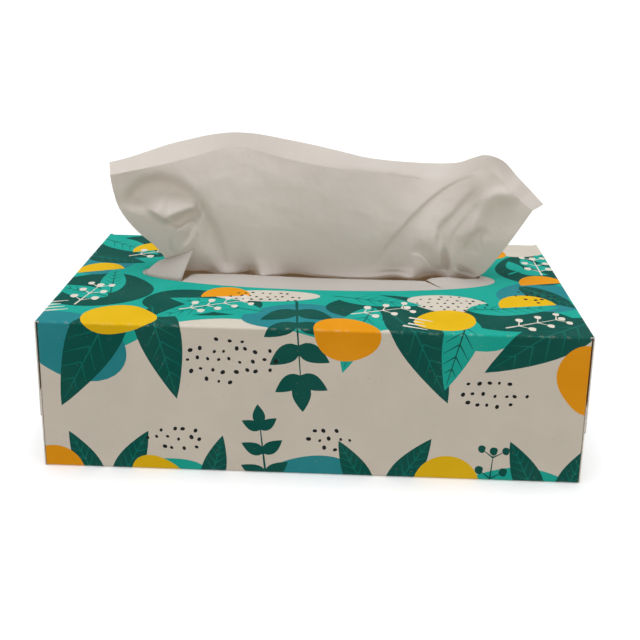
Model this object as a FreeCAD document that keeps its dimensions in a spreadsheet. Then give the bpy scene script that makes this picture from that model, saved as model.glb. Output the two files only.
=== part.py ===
"""A flat box of tissues with one sheet pulled up through its opening.

Four pieces: the folded carton, the slit paper liner under its opening, the stack of folded tissues,
and the sheet that stands in the slit. Millimetres, +Z up, origin at the middle of the carton's base.
+X runs along the carton and the front panel faces -Y.
"""
import FreeCAD, Part
import math
import os
import Sketcher
from FreeCAD import Placement, Rotation, Vector

# Driving sizes, in millimetres, angles in degrees and counts plain
SIZES = {
    # Carton
    "carton_length": 230.0,
    "carton_depth": 118.0,
    "carton_height": 67.0,
    "board": 0.5,
    "fold_radius": 1.2,
    "glue_flap": 18.0,
    "opening_length": 168.0,
    "opening_depth": 36.0,
    "opening_back": 2.5,
    "dust_flap": 40.0,
    "bottom_flap": 42.0,
    "top_flap": 50.0,
    "flap_side_gap": 0.5,
    "flap_corner": 7.0,
    # Liner
    "liner_length": 196.0,
    "liner_depth": 76.0,
    "liner_paper": 0.3,
    "liner_corner": 4.0,
    "slit_length": 100.0,
    "slit_gap": 13.0,
    "slit_back": 1.0,
    "slit_spread": 26.0,
    "snip_length": 13.0,
    "snip_width": 0.6,
    "snip_angle": 50.0,
    "tab_reach": 30.0,
    "tab_hinge": 14.0,
    "tab_drop": 6.5,
    "tab_length": 12.0,
    "tab_width": 13.0,
    "tab_lift": 60.0,
    # Stack of folded tissues
    "stack_end_room": 8.5,
    "stack_side_room": 5.5,
    "stack_height": 54.0,
    "fold_pitch": 3.0,
    "fold_bulge": 1.0,
    # Pulled tissue
    "sheet_thickness": 0.6,
    "sheet_clearance": 0.3,
    "lower_leaf": 80.0,
    "leaf_fold": 2.2,
    "throat_width": 136.0,
    "plume_height": 71.0,
    "strip_width": 9.0,
    "strip_lean": 50.0,
}
# Sizes that follow from the driving ones: the stack and the sheet fill the carton but for some room
FOLLOWING = {
    "sheet_width": "=carton_length - 6 * board - 2 * stack_end_room",
    "stack_depth": "=carton_depth - 2 * board - 2 * fold_bulge - 2 * stack_side_room",
}

# The crease under the sheet's top strip, as shares: across, from -1 to 1, and up, of the plume's height
CREASE_LINE = [(-1.0, 0.68), (-0.74, 0.78), (-0.36, 0.89), (-0.14, 0.84), (0.1, 0.76), (0.4, 0.71),
               (0.6, 0.72), (0.76, 0.79), (0.88, 0.73), (1.0, 0.5)]
# How far the crease stands back from the slit, in millimetres, over the same shares across
CREASE_BACK = [(-1.0, -18.0), (-0.74, -6.0), (-0.36, 6.0), (0.0, -3.0), (0.3, 3.0), (0.55, 12.0),
               (0.78, -2.0), (1.0, -6.0)]
# Folds in the plume: from and to, across and up in millimetres from the slit's middle, width and depth back.
# The millimetres of both tables are those of a plume as high as DRAWN_HEIGHT, and grow with it.
DRAWN_HEIGHT = 71.0
FOLDS = {
    "hollow": ((-76.0, 30.0), (-70.0, 38.0), 11.0, 7.0),
    "rim": ((-72.0, 46.0), (-48.0, 14.0), 5.0, -3.5),
    "ridge": ((-60.0, 30.0), (-60.0, 14.0), 4.5, -3.0),
    "step": ((-27.0, 56.0), (-29.0, 6.0), 5.0, -2.0),
    "long_fold": ((34.0, 14.0), (72.0, 52.0), 5.0, -5.0),
    "second_fold": ((54.0, 16.0), (80.0, 46.0), 4.0, -3.5),
    "third_fold": ((68.0, 12.0), (86.0, 36.0), 4.5, -4.0),
}
# How much the strip beyond the crease leans outward instead of up, over the shares across
STRIP_OUTWARD = [(-1.0, -0.05), (0.7, 0.0), (0.9, 0.45), (1.0, 0.75)]
# Corners of the hole that the lifted tab leaves, the first two being its hinge
TAB_HOLE = [("-sizes.slit_length / 2 - sizes.tab_reach", "sizes.slit_back"),
            ("-sizes.slit_length / 2 - sizes.tab_hinge", "sizes.slit_back - sizes.tab_drop"),
            ("-sizes.slit_length / 2 + sizes.slit_back", "sizes.slit_back + sizes.snip_width"),
            ("-sizes.slit_length / 2 - sizes.tab_hinge", "sizes.slit_back + sizes.slit_gap * 0.85")]
# The sheet's pleats across the slit, and shares of the plume's height and width that shape it
PLEATS = 4
PLEAT_FADE = 0.22
FOLDS_START = 0.2
PLUME_SPREAD = 0.94
PLUME_BELLY = 5.0
# How the upper leaf narrows as it comes forward: share of the way left and share of the sheet's width
LEAF_NARROWING = [(0.66, 0.9), (0.33, 0.74)]
BEND_PLEATS = 0.3
THROAT_PLEATS = 0.5
# Facets of the sheet: columns across it, rows up the plume and steps round the leaf's fold
COLUMNS = 31
PLUME_ROWS = 10
FOLD_STEPS = 4


def start_document():
    """Opens the document and writes the driving sizes into its sheet."""
    doc = FreeCAD.newDocument("tissue_box")
    sheet = doc.addObject("Spreadsheet::Sheet", "sizes")
    for row, (name, value) in enumerate({**SIZES, **FOLLOWING}.items(), start=1):
        sheet.set("A%d" % row, name)
        sheet.set("B%d" % row, str(value))
        sheet.setAlias("B%d" % row, name)
    doc.recompute()
    return doc


def number(thing, expression):
    """The value that an expression of the sheet's sizes has now."""
    return float(thing.evalExpression(expression))


# Sketch helpers

def new_sketch(body, name, role, lift=None):
    """A sketch on one of the body's origin planes, lifted off it by an expression."""
    plane = next(item for item in body.Origin.OriginFeatures if item.Role == role)
    sketch = body.newObject("Sketcher::SketchObject", name)
    sketch.AttachmentSupport = [(plane, "")]
    sketch.MapMode = "FlatFace"
    if lift:
        sketch.setExpression("AttachmentOffset.Base.z", lift)
    return sketch


def tie(sketch, kind, *where):
    """Adds a constraint without a size."""
    return sketch.addConstraint(Sketcher.Constraint(kind, *where))


def bind(sketch, expression, kind, *where):
    """Adds a dimension that follows the sheet."""
    index = sketch.addConstraint(Sketcher.Constraint(kind, *where, number(sketch, expression)))
    sketch.setExpression("Constraints[%d]" % index, expression)


def line(sketch, start, end):
    return sketch.addGeometry(Part.LineSegment(Vector(*start, 0), Vector(*end, 0)), False)


def quarter(sketch, centre, radius, start_degrees):
    circle = Part.Circle(Vector(*centre, 0), Vector(0, 0, 1), radius)
    start = math.radians(start_degrees)
    return sketch.addGeometry(Part.ArcOfCircle(circle, start, start + math.pi / 2), False)


def rounded_rectangle(sketch, width, height, radius, top):
    """Draws a rounded rectangle about the sketch's upright axis. The arguments are expressions."""
    wide, high, r, upper = (number(sketch, text) for text in (width, height, radius, top))
    right, lower = wide / 2, upper - high
    centres = [(right - r, lower + r), (right - r, upper - r), (r - right, upper - r), (r - right, lower + r)]
    sides = [((r - right, lower), (right - r, lower)), ((right, lower + r), (right, upper - r)),
             ((right - r, upper), (r - right, upper)), ((-right, upper - r), (-right, lower + r))]
    lines = [line(sketch, *side) for side in sides]
    arcs = [quarter(sketch, centre, r, 90 * n - 90) for n, centre in enumerate(centres)]
    for n in range(4):
        tie(sketch, "Tangent", lines[n], 2, arcs[n], 1)
        tie(sketch, "Tangent", arcs[n], 2, lines[(n + 1) % 4], 1)
        tie(sketch, "Vertical" if n % 2 else "Horizontal", lines[n])
    for arc in arcs[1:]:
        tie(sketch, "Equal", arcs[0], arc)
    bind(sketch, radius, "Radius", arcs[0])
    bind(sketch, width, "DistanceX", lines[3], 1, lines[1], 2)
    bind(sketch, "(%s) / 2" % width, "DistanceX", -1, 1, lines[1], 1)
    bind(sketch, height, "DistanceY", lines[0], 1, lines[2], 2)
    bind(sketch, top, "DistanceY", -1, 1, lines[2], 1)


def folded_flap(sketch, side, turn, start, face, edge, reach):
    """Draws a flap's section: a short tail in the panel's plane, the fold, and the flap beyond it.

    side is 1 or -1 for the right or left end, turn is 1 or -1 for a flap that goes up or down the
    sketch. The rest are expressions: where the tail starts and where the flap's outer face is, both
    from the middle, where the panel's inner face is, and how far the flap reaches from the panel.
    """
    first, outer, inner_edge, far = (number(sketch, text) for text in (start, face, edge, reach))
    radius, board = number(sketch, "sizes.fold_radius"), number(sketch, "sizes.board")
    panel = inner_edge - turn * board
    centre = (side * (outer - radius), panel + turn * radius)
    points = [(side * first, panel), (centre[0], panel), (side * outer, centre[1]),
              (side * outer, panel + turn * far), (side * (outer - board), panel + turn * far),
              (side * (outer - board), centre[1]), (centre[0], inner_edge), (side * first, inner_edge)]
    tail, flap, end = line(sketch, *points[0:2]), line(sketch, *points[2:4]), line(sketch, *points[3:5])
    inner_flap, inner_tail = line(sketch, *points[4:6]), line(sketch, *points[6:8])
    close = line(sketch, points[7], points[0])
    start_degrees = {(1, 1): -90, (1, -1): 0, (-1, 1): 180, (-1, -1): 90}[side, turn]
    outer_fold = quarter(sketch, centre, radius, start_degrees)
    inner_fold = quarter(sketch, centre, radius - board, start_degrees)
    at_tail = 1 if side * turn > 0 else 2
    at_flap = 3 - at_tail
    tie(sketch, "Tangent", tail, 2, outer_fold, at_tail)
    tie(sketch, "Tangent", outer_fold, at_flap, flap, 1)
    tie(sketch, "Coincident", flap, 2, end, 1)
    tie(sketch, "Coincident", end, 2, inner_flap, 1)
    tie(sketch, "Tangent", inner_flap, 2, inner_fold, at_flap)
    tie(sketch, "Tangent", inner_fold, at_tail, inner_tail, 1)
    tie(sketch, "Coincident", inner_tail, 2, close, 1)
    tie(sketch, "Coincident", close, 2, tail, 1)
    tie(sketch, "Coincident", outer_fold, 3, inner_fold, 3)
    for level in (tail, end, inner_tail):
        tie(sketch, "Horizontal", level)
    for upright in (flap, inner_flap, close):
        tie(sketch, "Vertical", upright)
    bind(sketch, "sizes.fold_radius", "Radius", outer_fold)
    bind(sketch, "sizes.fold_radius - sizes.board", "Radius", inner_fold)
    origin, far_point, near_point = (-1, 1), (flap, 1), (tail, 1)
    for expression, point in ((face, far_point), (start, near_point)):
        pair = origin + point if side > 0 else point + origin
        bind(sketch, expression, "DistanceX", *pair)
    pair = origin + (close, 1) if inner_edge > 0 else (close, 1) + origin
    bind(sketch, edge if inner_edge > 0 else "-(%s)" % edge, "DistanceY", *pair)
    pair = (tail, 1, flap, 2) if turn > 0 else (flap, 2, tail, 1)
    bind(sketch, reach, "DistanceY", *pair)


def pad(body, name, sketch, length, both_ways=False):
    feature = body.newObject("PartDesign::Pad", name)
    feature.Profile = sketch
    feature.setExpression("Length", length)
    if both_ways:
        feature.SideType = "Symmetric"
    body.Document.recompute()
    return feature


def pocket(body, name, sketch, depth, upward=False):
    """Cuts from the sketch's plane and makes sure that something was cut."""
    before = body.Shape.Volume
    feature = body.newObject("PartDesign::Pocket", name)
    feature.Profile = sketch
    feature.Reversed = upward
    feature.setExpression("Length", depth)
    body.Document.recompute()
    if not body.Shape.Volume < before:
        raise RuntimeError(name + " cut nothing")
    return feature


# Carton

def corner_triangle(sketch, side, turn, half_width, height):
    """Draws the corner that is cut off a flap, whose free edge is at a height given by an expression."""
    y, z = side * number(sketch, half_width), number(sketch, height)
    cut = number(sketch, "sizes.flap_corner")
    corner, along, down = (y, z), (y - side * cut, z), (y, z - turn * cut)
    edges = [line(sketch, corner, along), line(sketch, along, down), line(sketch, down, corner)]
    for n in range(3):
        tie(sketch, "Coincident", edges[n], 2, edges[(n + 1) % 3], 1)
    tie(sketch, "Horizontal", edges[0])
    tie(sketch, "Vertical", edges[2])
    level = (edges[0], 2, edges[0], 1) if side > 0 else (edges[0], 1, edges[0], 2)
    upright = (edges[2], 1, edges[2], 2) if turn > 0 else (edges[2], 2, edges[2], 1)
    bind(sketch, "sizes.flap_corner", "DistanceX", *level)
    bind(sketch, "sizes.flap_corner", "DistanceY", *upright)
    across = (-1, 1, edges[0], 1) if side > 0 else (edges[0], 1, -1, 1)
    bind(sketch, half_width, "DistanceX", *across)
    bind(sketch, height, "DistanceY", -1, 1, edges[0], 1)


def cut_flap_corners(body, name, side, turn, face, height, width):
    """Takes the two free corners off a flap: the expressions give its face, edge height and width."""
    lift = face if side > 0 else "-(%s)" % face
    sketch = new_sketch(body, name + "_outline", "YZ_Plane", lift)
    for corner in (1, -1):
        corner_triangle(sketch, corner, turn, "(%s) / 2" % width, height)
    pocket(body, name, sketch, "sizes.board", upward=side < 0)


def build_carton(doc):
    """One blank of board: a sleeve glued up the back, with three layers of flaps at each end."""
    body = doc.addObject("PartDesign::Body", "carton")
    sleeve_end = "sizes.carton_length / 2 - 2 * sizes.board - 2 * sizes.fold_radius"
    section = new_sketch(body, "sleeve_section", "YZ_Plane")
    rounded_rectangle(section, "sizes.carton_depth", "sizes.carton_height", "sizes.fold_radius",
                      "sizes.carton_height")
    rounded_rectangle(section, "sizes.carton_depth - 2 * sizes.board",
                      "sizes.carton_height - 2 * sizes.board", "sizes.fold_radius - sizes.board",
                      "sizes.carton_height - sizes.board")
    pad(body, "sleeve", section, "2 * (%s)" % sleeve_end, both_ways=True)
    build_glue_flap(body, sleeve_end)
    build_end_flaps(body, sleeve_end)
    build_opening(body)
    return body


def build_glue_flap(body, sleeve_end):
    """The strip that hangs from the top panel inside the back panel and is glued to it."""
    section = new_sketch(body, "glue_flap_section", "YZ_Plane")
    outer = "sizes.carton_depth / 2 - sizes.board"
    top = "sizes.carton_height - sizes.board"
    y, z = number(section, outer), number(section, top)
    thick, deep = number(section, "sizes.board"), number(section, "sizes.glue_flap")
    corners = [(y - thick, z - deep), (y, z - deep), (y, z), (y - thick, z)]
    edges = [line(section, corners[n], corners[(n + 1) % 4]) for n in range(4)]
    for n in range(4):
        tie(section, "Coincident", edges[n], 2, edges[(n + 1) % 4], 1)
        tie(section, "Vertical" if n % 2 else "Horizontal", edges[n])
    bind(section, outer, "DistanceX", -1, 1, edges[1], 1)
    bind(section, top, "DistanceY", -1, 1, edges[2], 1)
    bind(section, "sizes.board", "DistanceX", edges[0], 1, edges[0], 2)
    bind(section, "sizes.glue_flap", "DistanceY", edges[1], 1, edges[1], 2)
    pad(body, "glue_flap", section, "2 * (%s) - 2 * sizes.flap_side_gap" % sleeve_end, both_ways=True)


def build_end_flaps(body, sleeve_end):
    """Two dust flaps, then the bottom flap, then the top flap, each outside the last, at both ends."""
    half = "sizes.carton_length / 2"
    inner_face = half + " - 2 * sizes.board"
    middle_face = half + " - sizes.board"
    front = "-sizes.carton_depth / 2 + sizes.board"
    back = "sizes.carton_depth / 2 - sizes.board"
    dust_height = "sizes.carton_height - 2 * sizes.fold_radius - 2 * sizes.flap_side_gap"
    width = "sizes.carton_depth - 2 * sizes.flap_side_gap"
    for side, end in ((1, "right"), (-1, "left")):
        dust = new_sketch(body, end + "_dust_section", "XY_Plane", "sizes.carton_height / 2")
        folded_flap(dust, side, 1, sleeve_end, inner_face, front, "sizes.dust_flap")
        folded_flap(dust, side, -1, sleeve_end, inner_face, back, "sizes.dust_flap")
        pad(body, end + "_dust_flaps", dust, dust_height, both_ways=True)
        lower = new_sketch(body, end + "_bottom_section", "XZ_Plane")
        folded_flap(lower, side, 1, sleeve_end, middle_face, "sizes.board", "sizes.bottom_flap")
        pad(body, end + "_bottom_flap", lower, width, both_ways=True)
        cut_flap_corners(body, end + "_bottom_corners", side, 1, middle_face, "sizes.bottom_flap", width)
        upper = new_sketch(body, end + "_top_section", "XZ_Plane")
        folded_flap(upper, side, -1, sleeve_end, half, "sizes.carton_height - sizes.board",
                    "sizes.top_flap")
        pad(body, end + "_top_flap", upper, width, both_ways=True)
        cut_flap_corners(body, end + "_top_corners", side, -1, half,
                         "sizes.carton_height - sizes.top_flap", width)


def build_opening(body):
    """The oval opening in the top panel."""
    sketch = new_sketch(body, "opening_outline", "XY_Plane", "sizes.carton_height")
    long_half = number(sketch, "sizes.opening_length / 2")
    short_half = number(sketch, "sizes.opening_depth / 2")
    middle = number(sketch, "sizes.opening_back")
    oval = sketch.addGeometry(Part.Ellipse(Vector(0, middle, 0), long_half, short_half), False)
    sketch.exposeInternalGeometry(oval)
    tie(sketch, "PointOnObject", oval, 3, -2)
    tie(sketch, "Horizontal", oval + 1)
    bind(sketch, "sizes.opening_back", "DistanceY", -1, 1, oval, 3)
    bind(sketch, "sizes.opening_length", "Distance", oval + 1)
    bind(sketch, "sizes.opening_depth", "Distance", oval + 2)
    pocket(body, "opening", sketch, "2 * sizes.board")


# Liner

def polygon(sketch, points):
    """Draws a closed outline and pins each corner. Each point is a pair of expressions."""
    places = [tuple(number(sketch, text) for text in point) for point in points]
    count = len(places)
    edges = [line(sketch, places[n], places[(n + 1) % count]) for n in range(count)]
    for n in range(count):
        tie(sketch, "Coincident", edges[n], 2, edges[(n + 1) % count], 1)
    for edge, place, point in zip(edges, places, points):
        for kind, position, expression in (("DistanceX", place[0], point[0]), ("DistanceY", place[1], point[1])):
            if position < 0:
                bind(sketch, "-(%s)" % expression, kind, edge, 1, -1, 1)
            else:
                bind(sketch, expression, kind, -1, 1, edge, 1)


def build_liner(doc):
    """The paper under the opening, with its slit, the snips at the slit's ends and the lifted tab."""
    body = doc.addObject("PartDesign::Body", "liner_sheet")
    top = "sizes.carton_height - sizes.board"
    outline = new_sketch(body, "liner_outline", "XY_Plane", top + " - sizes.liner_paper")
    rounded_rectangle(outline, "sizes.liner_length", "sizes.liner_depth", "sizes.liner_corner",
                      "sizes.liner_depth / 2 + sizes.opening_back")
    pad(body, "liner_paper", outline, "sizes.liner_paper")
    slit = new_sketch(body, "slit_outline", "XY_Plane", top)
    draw_slit(slit)
    pocket(body, "slit", slit, "2 * sizes.liner_paper")
    hole = new_sketch(body, "tab_outline", "XY_Plane", top)
    polygon(hole, TAB_HOLE)
    pocket(body, "tab_hole", hole, "2 * sizes.liner_paper")
    add_snip(body)
    return fuse_tab(doc, body)


def draw_slit(sketch):
    """The open slit: its straight front lip, and the back lip that the sheet pushes back and spreads."""
    front, back = "sizes.slit_back", "sizes.slit_back + sizes.slit_gap"
    narrow, wide = "sizes.slit_length / 2", "sizes.slit_length / 2 + sizes.slit_spread"
    polygon(sketch, [("-sizes.slit_length / 2", front), (narrow, front), (wide, back),
                     ("-sizes.slit_length / 2 - sizes.slit_spread", back)])


def add_snip(body):
    """The short cut that runs forward from the slit's right end."""
    snip = body.newObject("PartDesign::SubtractiveBox", "snip")
    snip.setExpression("Length", "sizes.snip_length")
    snip.setExpression("Width", "sizes.snip_width")
    snip.setExpression("Height", "3 * sizes.liner_paper")
    snip.setExpression("Placement.Base.x", "sizes.slit_length / 2 - 2 * sizes.snip_width")
    snip.setExpression("Placement.Base.y", "sizes.slit_back + sizes.snip_width")
    snip.setExpression("Placement.Base.z", "sizes.carton_height - sizes.board - 2 * sizes.liner_paper")
    turn = Rotation(Vector(0, 0, 1), -number(snip, "sizes.snip_angle"))
    snip.Placement = Placement(snip.Placement.Base, turn)
    body.Document.recompute()


def fuse_tab(doc, body):
    """The liner's left corner, which the sheet has folded up about the line between its two hinge points."""
    paper = number(doc.sizes, "sizes.liner_paper")
    level = number(doc.sizes, "sizes.carton_height - sizes.board - sizes.liner_paper")
    hinge = [Vector(number(doc.sizes, x), number(doc.sizes, y), level) for x, y in TAB_HOLE[:2]]
    along = (hinge[1] - hinge[0]).normalize()
    inward = Vector(-along.y, along.x, 0)
    lift = math.radians(number(doc.sizes, "sizes.tab_lift"))
    slope = inward * math.cos(lift) + Vector(0, 0, math.sin(lift))
    tip = hinge[0] + along * number(doc.sizes, "sizes.tab_width") + slope * number(doc.sizes, "sizes.tab_length")
    foot = inward * -paper
    face = Part.Face(Part.makePolygon([hinge[0] + foot, hinge[1] + foot, tip, hinge[0] + foot]))
    tab = doc.addObject("Part::Feature", "lifted_tab")
    tab.Shape = face.extrude(along.cross(slope) * paper)
    liner = doc.addObject("Part::MultiFuse", "slit_liner")
    liner.Shapes = [body, tab]
    doc.recompute()
    return liner


# Stack

def build_stack(doc):
    """The folded tissues as one block, with a row of rounded folds down each long side."""
    body = doc.addObject("PartDesign::Body", "tissue_stack")
    section = new_sketch(body, "stack_section", "YZ_Plane")
    half = "sizes.stack_depth / 2"
    polygon(section, [("-" + half, "sizes.board"), (half, "sizes.board"),
                      (half, "sizes.board + sizes.stack_height"), ("-" + half, "sizes.board + sizes.stack_height")])
    pad(body, "leaves", section, "sizes.sheet_width", both_ways=True)
    for side, name, start in ((-1, "front", "0"), (1, "back", "sizes.fold_pitch / 2")):
        fold = new_sketch(body, name + "_fold_section", "YZ_Plane")
        draw_fold(fold, side, start)
        first = pad(body, name + "_fold", fold, "sizes.sheet_width", both_ways=True)
        pattern = body.newObject("PartDesign::LinearPattern", name + "_folds")
        pattern.Originals = [first]
        pattern.Direction = (fold, ["V_Axis"])
        count = int(number(body, "floor(sizes.stack_height / sizes.fold_pitch - 0.5)"))
        pattern.Occurrences = count
        pattern.setExpression("Length", "sizes.fold_pitch * %d" % (count - 1))
        body.Tip = pattern
        doc.recompute()
    return body


def draw_fold(sketch, side, start):
    """One rounded fold: an arc that stands out from the stack's side, closed by its chord."""
    y = side * number(sketch, "sizes.stack_depth / 2")
    low = number(sketch, "sizes.board + " + start)
    pitch, bulge = number(sketch, "sizes.fold_pitch"), number(sketch, "sizes.fold_bulge")
    bottom, top = Vector(y, low, 0), Vector(y, low + pitch, 0)
    arc = sketch.addGeometry(Part.Arc(bottom, Vector(y + side * bulge, low + pitch / 2, 0), top), False)
    chord = line(sketch, (y, low), (y, low + pitch))
    first, last = (1, 2) if side > 0 else (2, 1)
    tie(sketch, "Coincident", arc, first, chord, 1)
    tie(sketch, "Coincident", arc, last, chord, 2)
    tie(sketch, "Vertical", chord)
    origin, corner = (-1, 1), (chord, 1)
    pair = origin + corner if side > 0 else corner + origin
    bind(sketch, "sizes.stack_depth / 2", "DistanceX", *pair)
    bind(sketch, "sizes.board + " + start, "DistanceY", -1, 1, chord, 1)
    bind(sketch, "sizes.fold_pitch", "DistanceY", chord, 1, chord, 2)
    bind(sketch, "(sizes.fold_pitch ^ 2 / 4 + sizes.fold_bulge ^ 2) / (2 * sizes.fold_bulge)", "Radius", arc)


# Pulled tissue

def between(table, at):
    """The smooth value at one place of a table of (place, value) pairs."""
    if at <= table[0][0]:
        return table[0][1]
    for (low, first), (high, last) in zip(table, table[1:]):
        if at <= high:
            share = (at - low) / (high - low)
            return first + (last - first) * share * share * (3 - 2 * share)
    return table[-1][1]


def fold_depth(x, rise):
    """How far the folds push a plume of the drawn height back, x across and rise above the slit."""
    total = 0.0
    for start, end, width, depth in FOLDS.values():
        run = (end[0] - start[0], end[1] - start[1])
        share = ((x - start[0]) * run[0] + (rise - start[1]) * run[1]) / (run[0] ** 2 + run[1] ** 2)
        share = min(max(share, 0.0), 1.0)
        away = math.hypot(x - start[0] - share * run[0], rise - start[1] - share * run[1])
        total += depth * math.exp(-(away / width) ** 2)
    return total


class PulledSheet:
    """Works out the points of the pulled tissue, from its lower leaf in the carton to its top edge."""

    def __init__(self, size):
        self.size = size
        self.slit = size("carton_height") - size("board") - size("liner_paper")
        self.middle = size("slit_back") + size("slit_gap") / 2
        self.thin = size("sheet_thickness")
        self.scale = size("plume_height") / DRAWN_HEIGHT
        self.low = size("board") + size("stack_height") + size("sheet_clearance")
        self.high = self.low + 2 * size("leaf_fold")
        self.back = size("stack_depth") / 2 - 2 * size("leaf_fold")

    def throat(self, across, spread):
        """Where the gathered sheet stands between the lips of the slit, and its waves there."""
        beyond = abs(across) * self.size("throat_width") / 2 - self.size("slit_length") / 2
        taken = min(max(beyond / self.size("slit_spread"), 0.0), 1.0) * self.size("slit_gap")
        room = max((self.size("slit_gap") - taken) / 2 - self.thin - 2 * self.size("sheet_clearance"), 0.0)
        return self.middle + taken / 2 + room * math.cos(math.pi * PLEATS * across) * spread

    def leaf_rows(self):
        """The leaf that lies on the stack, its fold at the back, and the leaf that comes forward above it."""
        for share in (0.0, 0.5):
            yield self.flat_row(self.back - self.size("lower_leaf") * (1 - share), self.low, 1.0)
        radius = self.size("leaf_fold")
        for step in range(FOLD_STEPS + 1):
            turn = math.pi * step / FOLD_STEPS
            y, z = self.back + radius * math.sin(turn), self.low + radius * (1 - math.cos(turn))
            yield self.flat_row(y, z, 1.0)
        reach = self.back - self.middle
        for share, width in LEAF_NARROWING:
            yield self.flat_row(self.middle + reach * share, self.high, width)
        bend = self.size("leaf_fold")
        yield [point + Vector(0, bend, 0) for point in self.throat_row(self.high, BEND_PLEATS)]
        yield self.throat_row(self.high + bend, THROAT_PLEATS)

    def flat_row(self, y, z, width):
        """A level row of the leaf, as a share of the sheet's width but never narrower than the throat."""
        half = max(self.size("sheet_width") * width, self.size("throat_width")) / 2
        return [Vector(across * half, y, z) for across in self.columns()]

    def throat_row(self, z, pleats):
        half = self.size("throat_width") / 2
        return [Vector(across * half, self.throat(across, pleats), z) for across in self.columns()]

    def plume_rows(self):
        """The standing part, from the slit to the crease under the top strip."""
        for n in range(PLUME_ROWS):
            share = n / (PLUME_ROWS - 1)
            yield [self.plume_point(across, share) for across in self.columns()]

    def plume_point(self, across, share):
        throat, half = self.size("throat_width") / 2, self.size("sheet_width") / 2 * PLUME_SPREAD
        left = throat + (half - throat) * math.sin(share * math.pi / 2)
        right = throat + (half - throat) * share ** 0.5
        x = (right - left) / 2 + across * (right + left) / 2
        rise = share * between(CREASE_LINE, across) * self.size("plume_height")
        lean = between(CREASE_BACK, across) * share ** 1.5 - PLUME_BELLY * math.sin(share * math.pi)
        folds = fold_depth(x / self.scale, rise / self.scale) * min(1.0, share / FOLDS_START)
        y = self.throat(across, math.exp(-share / PLEAT_FADE)) + (lean + folds) * self.scale
        return Vector(x, y, self.slit + rise)

    def strip_rows(self, crease):
        """The strip beyond the crease, which leans back and, at its right end, outward."""
        lean = math.radians(self.size("strip_lean"))
        width = self.size("strip_width")
        for share in (0.5, 1.0):
            row = []
            for across, point in zip(self.columns(), crease):
                outward = between(STRIP_OUTWARD, across)
                along = Vector(outward, math.sin(lean), math.cos(lean) * (1 - abs(outward))).normalize()
                row.append(point + along * width * share)
            yield row

    def columns(self):
        return [2 * n / (COLUMNS - 1) - 1 for n in range(COLUMNS)]

    def rows(self):
        """Every row of points, from the lower leaf's edge to the strip's."""
        rows = list(self.leaf_rows()) + list(self.plume_rows())
        return rows + list(self.strip_rows(rows[-1]))


def thick_sheet(rows, thickness):
    """A closed solid of flat facets with one side on the rows of points and the other beyond it."""
    last_row, last_column = len(rows) - 1, len(rows[0]) - 1
    far = []
    for i, row in enumerate(rows):
        far.append([])
        for j, point in enumerate(row):
            up = rows[min(i + 1, last_row)][j] - rows[max(i - 1, 0)][j]
            across = row[min(j + 1, last_column)] - row[max(j - 1, 0)]
            far[-1].append(point + across.cross(up).normalize() * thickness)
    facets = []

    def add(first, second, third, fourth):
        facets.append((first, second, third))
        facets.append((first, third, fourth))

    for i in range(last_row):
        for j in range(last_column):
            add(rows[i][j], rows[i][j + 1], rows[i + 1][j + 1], rows[i + 1][j])
            add(far[i][j], far[i + 1][j], far[i + 1][j + 1], far[i][j + 1])
    for i in range(last_row):
        add(rows[i][0], rows[i + 1][0], far[i + 1][0], far[i][0])
        add(rows[i][-1], far[i][-1], far[i + 1][-1], rows[i + 1][-1])
    for j in range(last_column):
        add(rows[0][j], far[0][j], far[0][j + 1], rows[0][j + 1])
        add(rows[-1][j], rows[-1][j + 1], far[-1][j + 1], far[-1][j])
    faces = [Part.Face(Part.makePolygon([a, b, c, a])) for a, b, c in facets]
    shell = Part.makeShell(faces)
    shell.sewShape()
    return Part.makeSolid(Part.Shell(shell.Faces))


def build_pulled_tissue(doc):
    """The sheet as a thin solid with one side on the shaped rows."""
    sheet = PulledSheet(lambda name: number(doc.sizes, "sizes." + name))
    tissue = doc.addObject("Part::Feature", "pulled_tissue")
    tissue.Shape = thick_sheet(sheet.rows(), number(doc.sizes, "sizes.sheet_thickness"))
    return tissue


# Model

def check(doc, pieces):
    """Stops if any object failed, or a piece isn't one or more valid solids."""
    for item in doc.Objects:
        if "Invalid" in item.State or "Error" in item.State:
            raise RuntimeError("%s failed: %s" % (item.Name, item.State))
    for piece in pieces:
        shape = piece.Shape
        if shape.isNull() or not shape.isValid() or not shape.Solids:
            raise RuntimeError(piece.Label + " is not a valid solid")
        box = shape.BoundBox
        print("%-14s %d solid %9.0f mm3, x %.1f to %.1f, y %.1f to %.1f, z %.1f to %.1f" % (
            piece.Label, len(shape.Solids), shape.Volume, box.XMin, box.XMax, box.YMin, box.YMax,
            box.ZMin, box.ZMax))


def main():
    doc = start_document()
    pieces = [build_carton(doc), build_liner(doc), build_stack(doc), build_pulled_tissue(doc)]
    doc.recompute()
    check(doc, pieces)
    os.makedirs("parts", exist_ok=True)
    for piece in pieces:
        piece.Shape.exportStep("parts/%s.step" % piece.Label)


main()
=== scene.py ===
"""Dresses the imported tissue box: printed board, paper liner, folded tissues and the pulled sheet.

Sizes are in millimetres in the frame of the part, and are turned into metres as each mesh is made.
"""
import math
import random

import bmesh
import bpy
import numpy as np
from mathutils import Euler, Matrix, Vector, noise
from mathutils.geometry import delaunay_2d_cdt


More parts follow.
